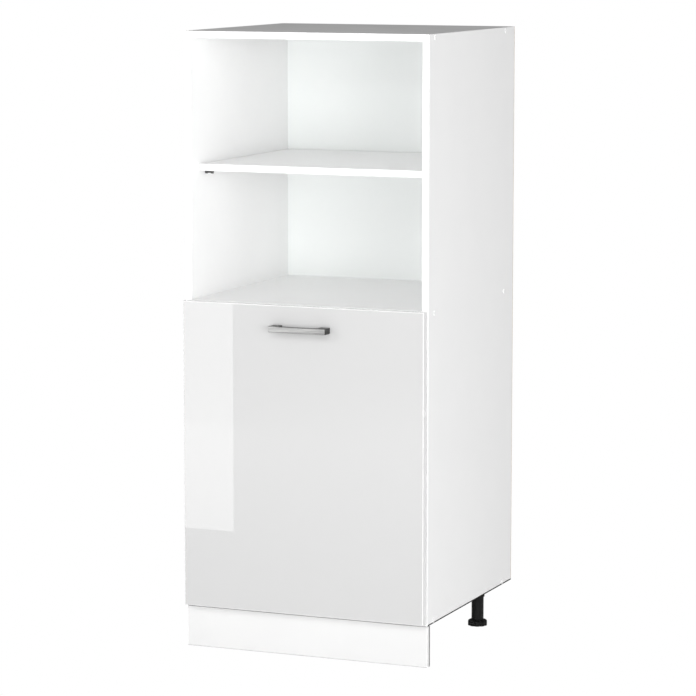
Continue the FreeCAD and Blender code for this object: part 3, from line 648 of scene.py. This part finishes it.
# %% [markdown]
# The door's narrow edges are a lighter white than its glossy face, as painted light along its rim,
# and its inner face has the plinth's paper. The handle is satin in front and nearly black on its
# flanks, a painted shade for flanks that mirror unlit surroundings. These two keep their measured
# shapes, whose roundings are exact. The faces are picked by direction again, the door's edges also by
# how near they lie to its outline.

# %% The door's edges and the handle's flanks
def own_mesh(node, name):
    """A copy of a measured piece's mesh, shown in its place."""
    mesh = nodes[node].data.copy()
    mesh.name = name
    return in_place_of(node, mesh)


def near_rim(face, low, high, reach):
    """Whether a face's middle lies within reach of the door's outline."""
    return any(min(abs(face.center[i] - low[i]), abs(face.center[i] - high[i])) < reach
               for i in (0, 2))


DOOR_RIM = 2.1 * MM     # the edge's rounding ends inside this
AHEAD = 0.98            # the edge's faces look less straight ahead than this
REARWARD = 0.9          # the inner face's look at least this straight to the rear
SIDEWAYS = 0.6          # the flanks' look at least this straight across the bar
ACROSS = ((1, 0, 0), (-1, 0, 0), (0, 0, 1), (0, 0, -1))
door = own_mesh("door_panel", "door_shaded_face_lit_rim")
door.data.materials.append(door_edge)
low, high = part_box("door_panel")
edged = 0
for face in door.data.polygons:
    if abs(face.normal.y) < AHEAD and near_rim(face, low, high, DOOR_RIM):
        face.material_index = 1
        edged += 1
inner = refinish(door, plinth_white, (REAR,), REARWARD)
handle = own_mesh("door_handle", "handle_lit_face_shaded_flanks")
# The flanks take the near black satin: painted shade.
flanks = refinish(handle, shaded_satin, ACROSS, SIDEWAYS)
print("door edge faces", edged, "door inner faces", inner, "handle flank faces", flanks)

# %% [markdown]
# ## The studio
# The picture is high-key. The floor is a white sheet that the camera sees as pure white, and so are
# the surroundings, so no shadow shows where it lies. It lies just below the lowest place that the
# screw feet can reach. Matt surfaces see the sheet slightly grey and the surroundings at less than
# half strength, and gloss and metal see the surroundings darker still, so that they keep contrast.

# %% Floor and surroundings
FLOOR_REACH = 90.0          # half the sheet's width
FLOOR_DROP = 21.0 * MM      # the feet screw out by 20 mm
FLOOR_WHITE = 0.85          # what matt surfaces see of the sheet
SURROUND_SOFT = 0.41        # what matt surfaces get from all round
SURROUND_SHARP = 0.10       # what gloss and metal see there

sheet = bpy.data.meshes.new("floor")
sheet.from_pydata([(x, y, 0.0) for x, y in ((-1, -1), (1, -1), (1, 1), (-1, 1))], [], [(0, 1, 2, 3)])
floor = bpy.data.objects.new("floor", sheet)
floor.scale = (FLOOR_REACH, FLOOR_REACH, 1.0)
floor.location.z = -FLOOR_DROP
bpy.context.scene.collection.objects.link(floor)
pale, tree, shader, here = finish("pale_floor", Roughness=0.8, Specular_IOR_Level=0.0)
shader.inputs["Emission Color"].default_value = grey(1.0)
path = add(tree, "ShaderNodeLightPath", {}).outputs
tree.links.new(blend_colours(tree, path["Is Camera Ray"], grey(FLOOR_WHITE), grey(0.0)),
               shader.inputs["Base Color"])
tree.links.new(path["Is Camera Ray"], shader.inputs["Emission Strength"])
sheet.materials.append(pale)

world = bpy.data.worlds.new("studio")
world.use_nodes = True
bpy.context.scene.world = world
tree = world.node_tree
path = add(tree, "ShaderNodeLightPath", {}).outputs
level = stretch(tree, path["Is Glossy Ray"], 0.0, 1.0, SURROUND_SOFT, SURROUND_SHARP)
level = maths(tree, "MAXIMUM", level, path["Is Camera Ray"])
tree.links.new(level, tree.nodes["Background"].inputs["Strength"])
tree.nodes["Background"].inputs["Color"].default_value = grey(1.0)
bpy.context.scene.view_settings.view_transform = "Standard"
print("floor and surroundings set")

# %% [markdown]
# ## The light
# Most of the light comes level, from large soft boxes low in front and to the right, and bounces
# about inside the white niche. Little comes from above, so that only the faces that look straight up
# fall to grey. A tall narrow box by the door's left shows only in the gloss, as the sharp bright
# panel there. A box is described by the brightness of its face, because that is what a gloss mirrors,
# and its power then follows from its size.

# %% The soft boxes
def soft_box(name, middle, aim, width, height, radiance):
    """A rectangular light that faces a point. Its power follows from the brightness of its face."""
    lamp = bpy.data.lights.new(name, "AREA")
    lamp.shape = "RECTANGLE"
    lamp.size = width
    lamp.size_y = height
    lamp.energy = radiance * math.pi * width * height
    box = bpy.data.objects.new(name, lamp)
    box.location = middle
    box.rotation_euler = (Vector(aim) - Vector(middle)).to_track_quat("-Z", "Y").to_euler()
    box.visible_camera = False
    bpy.context.scene.collection.objects.link(box)
    return box


HEART = (0.0, 0.0, 0.9)     # the large boxes face this point, a little above the unit's middle
LARGE_BOXES = (             # name, middle, width, height, brightness
    ("key_right_of_camera", (4.2, -5.0, 1.3), 3.0, 2.0, 8.5),
    ("low_front", (0.5, -4.5, 0.7), 2.0, 1.2, 6.9),
    ("high_front", (0.6, -3.5, 2.6), 2.0, 1.2, 4.5),
    ("high_left", (-2.2, -3.0, 2.2), 1.6, 1.2, 4.7),
    ("low_left", (-2.4, -3.0, 0.6), 1.4, 1.0, 4.3),
    ("right_side", (3.2, -1.2, 1.0), 1.5, 1.5, 2.4))
large = {name: soft_box(name, middle, HEART, width, height, brightness)
         for name, middle, width, height, brightness in LARGE_BOXES}
for name in ("key_right_of_camera", "right_side"):
    large[name].visible_glossy = False      # the ends of the handle would mirror these two

STRIP_ACROSS = -0.582       # its mirror image then stands in the door's left part
STRIP_UP = 0.5635
STRIP_WIDTH = 0.155
STRIP_HEIGHT = 0.873
STRIP_BRIGHTNESS = 2.7
strip = soft_box("strip_in_the_gloss", (STRIP_ACROSS, -1.0, STRIP_UP), (STRIP_ACROSS, 0.0, STRIP_UP),
                 STRIP_WIDTH, STRIP_HEIGHT, STRIP_BRIGHTNESS)
strip.visible_diffuse = False
print("soft boxes", list(large), strip.name)
